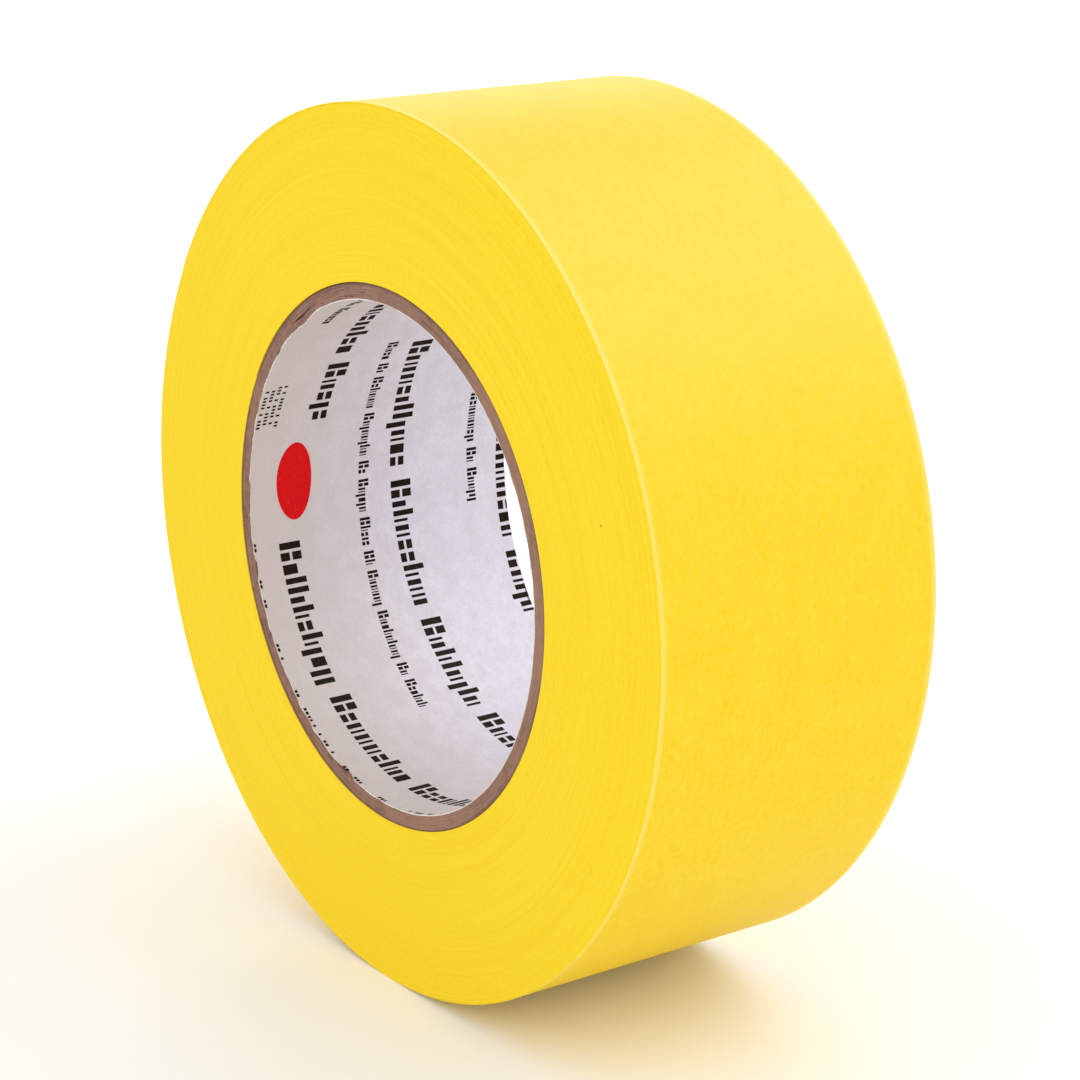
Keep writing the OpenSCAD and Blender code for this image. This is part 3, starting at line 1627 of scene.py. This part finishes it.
    def _ovals(self) -> bpy.types.Object:
        """Plain red ovals, one before each long row.

        Returns:
            The piece.
        """
        places = ((176.3, -15.9 * MM), (126, 2.2 * MM), (-82, 10.6 * MM))
        centres = [Vector((math.radians(a) * self.sizes.bore_r, y, 0.0)) for a, y in places]
        spans = [Vector((12.8 * MM, 6.4 * MM, self.film))] * len(centres)
        return self._film("print_red_ovals", centres, spans, self.palette.red_ink, oval=True)

    def _dots(self) -> bpy.types.Object:
        """A patch of printed dots near the front rim, in an even pattern with gaps.

        Returns:
            The piece.
        """
        centres, spans = [], []
        for line in range(4):
            for dot in range(13):
                if (dot * 5 + line * 3) % 7 in (0, 3):
                    continue
                arc = math.radians(150) * self.sizes.bore_r + dot * 0.62 * MM
                centres.append(Vector((arc, -23.0 * MM + line * 1.05 * MM - dot * 0.03 * MM, 0.0)))
                spans.append(Vector((0.34 * MM, 0.62 * MM, self.film)))
        return self._film("print_dots", centres, spans, self.palette.ink)


# ---------------------------------------------------------------------------------------------
# Studio


@dataclass(frozen=True)
class SoftBox:
    """A soft light: where it stands, its level side and its other side, and its power in watts."""

    name: str
    place: tuple[float, float, float]
    size: tuple[float, float]
    power: float
    gloss_only: bool = False

    def build(self) -> None:
        """Builds the light, facing the roll."""
        data = bpy.data.lights.new(self.name, "AREA")
        data.shape, data.energy = "RECTANGLE", self.power
        data.size, data.size_y = self.size
        light = bpy.data.objects.new(self.name, data)
        bpy.context.scene.collection.objects.link(light)
        light.location = self.place
        light.rotation_mode = "QUATERNION"
        light.rotation_quaternion = (-Vector(self.place)).to_track_quat("-Z", "Y")
        light.visible_diffuse = not self.gloss_only


@dataclass
class Studio:
    """Floor, light and camera."""

    sizes: RollSizes
    palette: Palette
    azimuth: float = math.radians(54.80)
    elevation: float = math.radians(16.02)
    distance: float = 456.2 * MM
    aim_right: float = 3.63 * MM
    aim_up: float = -1.05 * MM
    focal_share: float = 2.8024074
    light_boxes: tuple[SoftBox, ...] = (
        SoftBox("box_behind", (-1.44, 1.04, 0.68), (0.9, 0.5), 4.4),
        SoftBox("box_above", (0.27, 0.56, 0.78), (0.7, 0.5), 1.3),
        SoftBox("box_sheen", (0.22, 0.60, 0.76), (1.2, 0.9), 13.5, gloss_only=True),
        SoftBox("box_front", (0.15, -1.0, 0.45), (0.9, 0.9), 0.55),
        SoftBox("box_side", (1.0, -0.35, 0.15), (1.0, 1.0), 1.25),
    )

    def build_floor(self, level: float) -> bpy.types.Object:
        """Builds the floor.

        Args:
            level: its height, where the roll's tread touches it.

        Returns:
            The floor.
        """
        mesh = bpy.data.meshes.new("floor")
        work = bmesh.new()
        bmesh.ops.create_circle(work, cap_ends=True, segments=96, radius=6.0)
        work.to_mesh(mesh)
        work.free()
        floor = new_object("floor", mesh)
        floor.location.z = level
        mesh.materials.append(self.palette.studio)
        floor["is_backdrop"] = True
        return floor

    def build_camera(self) -> bpy.types.Object:
        """Builds the camera.

        Returns:
            The camera.
        """
        a, e = self.azimuth, self.elevation
        back = Vector((math.sin(a) * math.cos(e), -math.cos(a) * math.cos(e), math.sin(e)))
        right = Vector((math.cos(a), math.sin(a), 0.0))
        up = back.cross(right)
        data = bpy.data.cameras.new("camera")
        data.sensor_width = 36.0
        data.lens = self.focal_share * data.sensor_width
        data.clip_start, data.clip_end = 0.01, 50.0
        camera = bpy.data.objects.new("camera", data)
        bpy.context.scene.collection.objects.link(camera)
        camera.location = back * self.distance
        aim = right * self.aim_right + up * self.aim_up
        camera.rotation_mode = "QUATERNION"
        camera.rotation_quaternion = (aim - camera.location).to_track_quat("-Z", "Y")
        bpy.context.scene.camera = camera
        return camera

    def build_light(self) -> None:
        """Builds the soft studio light: a bright white surround, and the boxes round the roll."""
        world = bpy.data.worlds.new("surround")
        world.use_nodes = True
        background = world.node_tree.nodes["Background"]
        background.inputs["Color"].default_value = (1.0, 1.0, 1.0, 1.0)
        background.inputs["Strength"].default_value = 0.96
        bpy.context.scene.world = world
        for box in self.light_boxes:
            box.build()
        scene = bpy.context.scene
        scene.view_settings.view_transform = "Standard"
        scene.view_settings.look = "None"


def report(piece: bpy.types.Object) -> None:
    """Logs a piece's name and size."""
    LOG.info("%s: %d faces", piece.name, len(piece.data.polygons))


def main() -> None:
    """Builds the roll's pieces, then the studio."""
    logging.basicConfig(level=logging.INFO, format="%(message)s")
    sizes = RollSizes.read()
    LOG.info("%d turns of %.3f mm", sizes.turns, sizes.pitch / MM)
    palette = Palette.build(sizes)
    core = Core(sizes, palette)
    pieces = [core.build_liner(), *core.build_plies()]
    pieces.append(WoundPack(sizes, palette).build())
    pieces += FreeTape(sizes, palette).build()
    pieces += LinerPrint(core, sizes, palette).build()
    for piece in pieces:
        report(piece)
    studio = Studio(sizes, palette)
    studio.build_floor(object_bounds()[0].z)
    studio.build_light()
    studio.build_camera()
    measured = [[list(corner) for corner in box] for box in (cad_box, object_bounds())]


if __name__ == "__main__":
    main()
